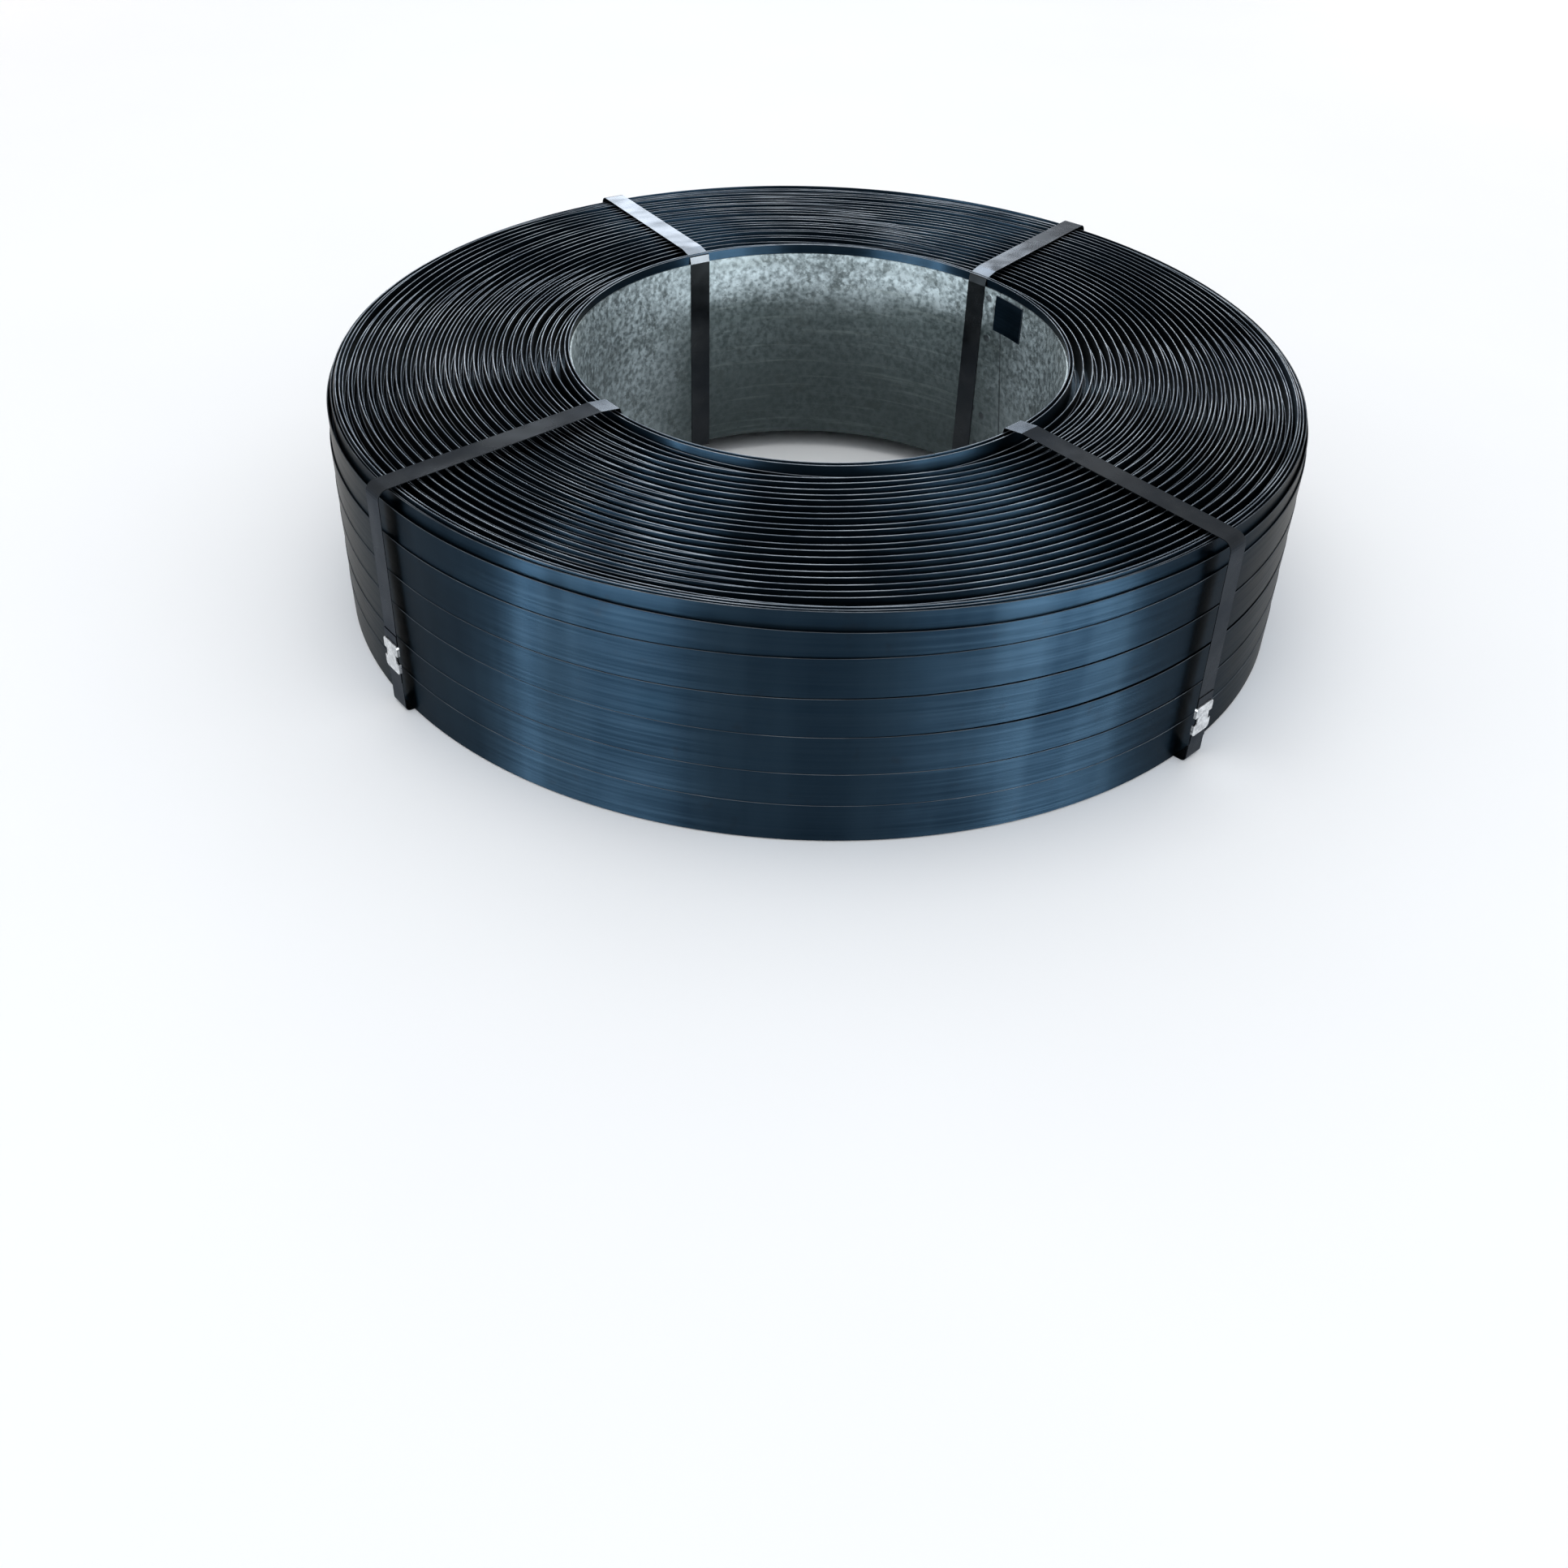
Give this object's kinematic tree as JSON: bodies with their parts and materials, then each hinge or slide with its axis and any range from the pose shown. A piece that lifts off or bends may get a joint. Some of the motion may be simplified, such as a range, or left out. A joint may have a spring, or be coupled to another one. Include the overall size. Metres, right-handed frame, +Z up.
{
  "type": "steel strapping coil",
  "caption": "Wide ring-shaped coil of blued steel strapping wound side by side on a thin galvanised sleeve, tied by flat binding straps with crimped seals.",
  "frame": {"origin": "centre of the coil's outline on the level that its binding straps rest on", "axes": "+Z up along the coil's axis, -Y towards the front of the picture"},
  "size_m": [0.8, 0.8, 0.2036],
  "materials": {
    "galvanised_sheet": "dull galvanised sheet steel with spangle",
    "blued_strap": "blued, waxed, satin",
    "binding_strap": "satin",
    "zinc_seal": "bright zinc"
  },
  "bodies": {
    "root": {"core_sleeve": "galvanised_sheet", "strap_winding": "blued_strap", "binding_strap_front_left": "binding_strap", "binding_strap_front_right": "binding_strap", "binding_strap_back_right": "binding_strap", "binding_strap_back_left": "binding_strap", "seal_front_left": "zinc_seal", "seal_front_right": "zinc_seal", "seal_back_right": "zinc_seal", "seal_back_left": "zinc_seal"}
  },
  "joints": []
}
